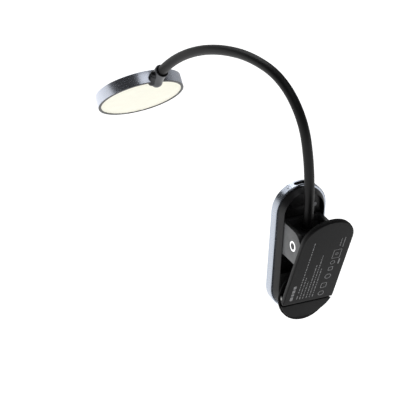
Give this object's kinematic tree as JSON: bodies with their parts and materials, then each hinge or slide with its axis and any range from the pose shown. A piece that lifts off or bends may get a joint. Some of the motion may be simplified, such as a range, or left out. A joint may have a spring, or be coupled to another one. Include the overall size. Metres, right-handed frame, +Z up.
{
  "type": "clip on reading lamp",
  "caption": "Clip-on reading lamp: flat housing with a sprung pincer and tilting foot, bendable gooseneck and round flat light head.",
  "frame": {"origin": "middle of the grip, on the face of the housing page pad", "axes": "+Z up along the housing, -Y towards the pincer plate, +X across to the right seen from the plate side"},
  "size_m": [0.0761, 0.2103, 0.1509],
  "materials": {
    "housing_metal": "satin",
    "cover_black": "satin",
    "grip_rubber": "matte",
    "cell_wrap": "satin",
    "board_green": "satin",
    "bright_steel": "polished",
    "clear_light": "polished",
    "dark_steel": "satin",
    "spring_steel": "polished",
    "block_grey": "satin",
    "ring_white": "satin",
    "button_black": "satin",
    "plate_black": "satin",
    "frame_black": "matte",
    "neck_black": "matte",
    "core_steel": "satin",
    "gland_black": "matte",
    "socket_metal": "satin",
    "head_metal": "satin",
    "head_back_black": "satin",
    "diffuser_white": "matte",
    "guide_clear": "polished",
    "foil_white": "satin",
    "led_yellow": "satin"
  },
  "bodies": {
    "housing": {"housing_shell": "housing_metal", "housing_cover": "cover_black", "page_pad": "grip_rubber", "battery": "cell_wrap", "main_board": "board_green", "usb_c_port": "bright_steel", "charge_light": "clear_light", "cover_screws": "dark_steel", "hinge_block": "block_grey", "block_screws": "dark_steel", "hinge_pin": "bright_steel", "torsion_spring": "spring_steel", "button_ring": "ring_white", "tact_switch": "button_black", "neck_gland": "gland_black", "neck_sleeve_1": "neck_black", "neck_core_1": "core_steel"},
    "button": {"power_button": "button_black"},
    "pincer": {"clip_plate": "plate_black", "clip_frame": "frame_black", "plate_screws": "dark_steel", "foot_pin": "bright_steel"},
    "foot": {"jaw_foot": "plate_black", "foot_pad": "grip_rubber"},
    "neck_2": {"neck_sleeve_2": "neck_black", "neck_core_2": "core_steel"},
    "neck_3": {"neck_sleeve_3": "neck_black", "neck_core_3": "core_steel"},
    "neck_4": {"neck_sleeve_4": "neck_black", "neck_core_4": "core_steel"},
    "neck_5": {"neck_sleeve_5": "neck_black", "neck_core_5": "core_steel"},
    "neck_6": {"neck_sleeve_6": "neck_black", "neck_core_6": "core_steel"},
    "neck_7": {"neck_sleeve_7": "neck_black", "neck_core_7": "core_steel"},
    "head": {"neck_sleeve_8": "neck_black", "neck_core_8": "core_steel", "head_shell": "head_metal", "diffuser": "diffuser_white", "light_guide": "guide_clear", "led_board": "board_green", "leds": "led_yellow", "reflector_foil": "foil_white", "head_board": "board_green", "head_back": "head_back_black", "neck_socket": "socket_metal"}
  },
  "joints": [
    {"name": "clip_hinge", "type": "hinge", "parent": "housing", "child": "pincer", "pos_m": [0, -0.0153, 0.0362], "axis": [-1, 0, 0], "range_deg": [-7, 24], "stiffness_Nm_per_rad": 0.3},
    {"name": "foot_tilt", "type": "hinge", "parent": "pincer", "child": "foot", "pos_m": [0, -0.00793, 0.00086], "axis": [-1, 0, 0], "range_deg": [-24, 7]},
    {"name": "button_press", "type": "slide", "parent": "housing", "child": "button", "axis": [1, 0, 0], "range_m": [0, 0.0004], "stiffness_N_per_m": 400},
    {"name": "neck_bend_1", "type": "hinge", "parent": "housing", "child": "neck_2", "pos_m": [-0.00023, -0.00303, 0.07136], "axis": [-0.9781, -0.2079, 0], "range_deg": [-28, 12]},
    {"name": "neck_sway_2", "type": "hinge", "parent": "neck_2", "child": "neck_3", "pos_m": [-0.00132, 0.0021, 0.0976], "axis": [-0.1988, 0.9354, -0.2924], "range_deg": [-22, 22]},
    {"name": "neck_bend_3", "type": "hinge", "parent": "neck_3", "child": "neck_4", "pos_m": [-0.0043, 0.01611, 0.11986], "axis": [-0.9781, -0.2079, 0], "range_deg": [-28, 12]},
    {"name": "neck_sway_4", "type": "hinge", "parent": "neck_4", "child": "neck_5", "pos_m": [-0.00933, 0.03978, 0.13028], "axis": [-0.0185, 0.087, -0.996], "range_deg": [-22, 22]},
    {"name": "neck_bend_5", "type": "hinge", "parent": "neck_5", "child": "neck_6", "pos_m": [-0.01487, 0.06584, 0.1286], "axis": [-0.9781, -0.2079, 0], "range_deg": [-28, 12]},
    {"name": "neck_sway_6", "type": "hinge", "parent": "neck_6", "child": "neck_7", "pos_m": [-0.02015, 0.09072, 0.12029], "axis": [0.0842, -0.3963, -0.9143], "range_deg": [-22, 22]},
    {"name": "neck_bend_7", "type": "hinge", "parent": "neck_7", "child": "head", "pos_m": [-0.02497, 0.11336, 0.1069], "axis": [-0.9781, -0.2079, 0], "range_deg": [-28, 12]}
  ],
  "couplings": [
    {"joint": "foot_tilt", "follows": "clip_hinge", "ratio": -1}
  ]
}
